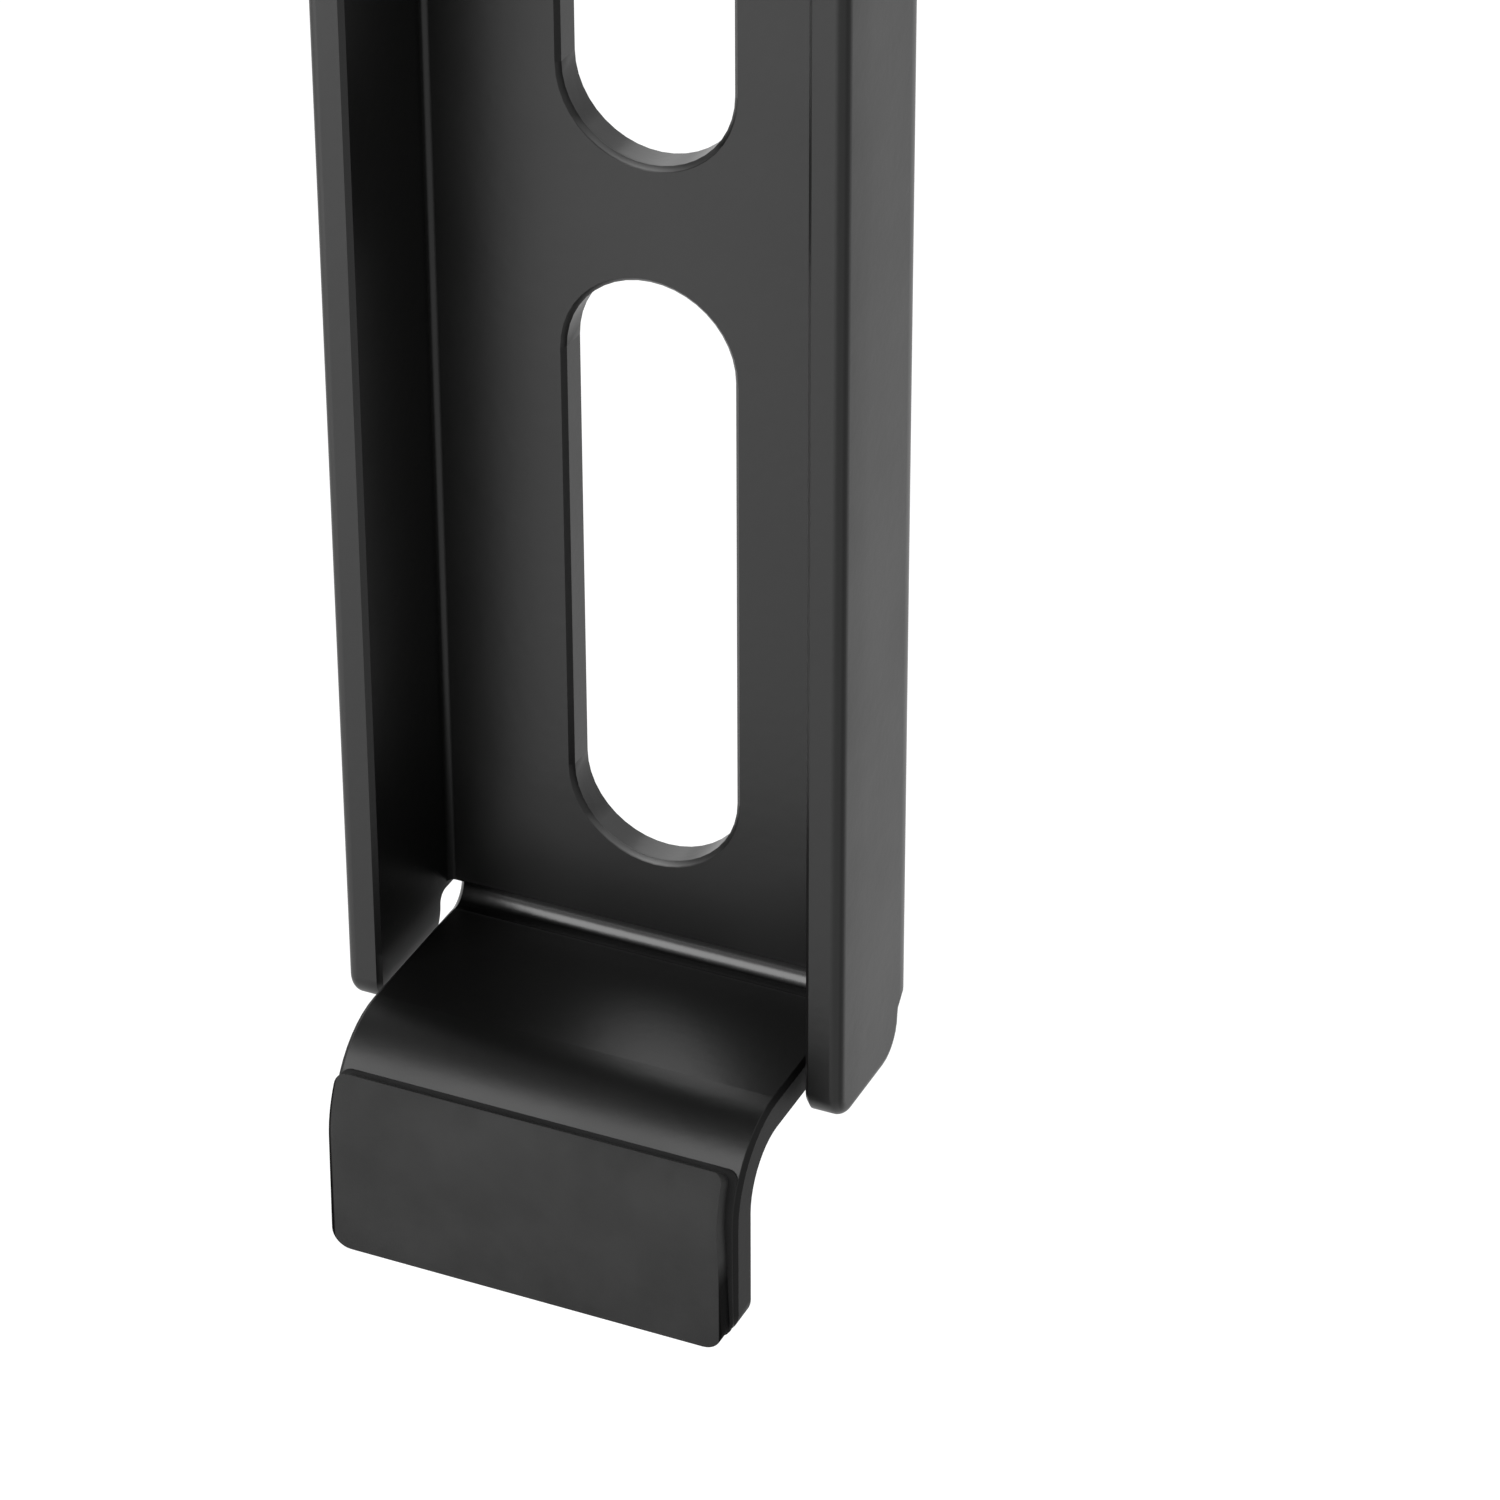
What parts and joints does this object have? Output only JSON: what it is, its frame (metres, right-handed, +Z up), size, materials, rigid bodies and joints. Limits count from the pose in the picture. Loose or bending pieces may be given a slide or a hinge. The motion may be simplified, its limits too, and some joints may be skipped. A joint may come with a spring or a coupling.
{
  "type": "fixed tv bracket arm",
  "caption": "Slim fixed TV bracket arm: a black folded steel channel with screw slots, a hook in each flange at the top and a folded foot with a thin pad.",
  "frame": {"origin": "on the face that is screwed to the TV, on the arm's centre line, midway between the lowest and the highest slot", "axes": "+Z is up along the arm, -Y points from the TV to the wall, +X is across the arm, to the right when it is seen from the wall"},
  "size_m": [0.028, 0.018, 0.2647],
  "materials": {
    "powder_coat": "satin black powder coat on 2 mm steel sheet",
    "pad_rubber": "matt dark grey rubber"
  },
  "bodies": {
    "root": {"bracket_arm": "powder_coat", "foot_pad": "pad_rubber"}
  },
  "joints": []
}
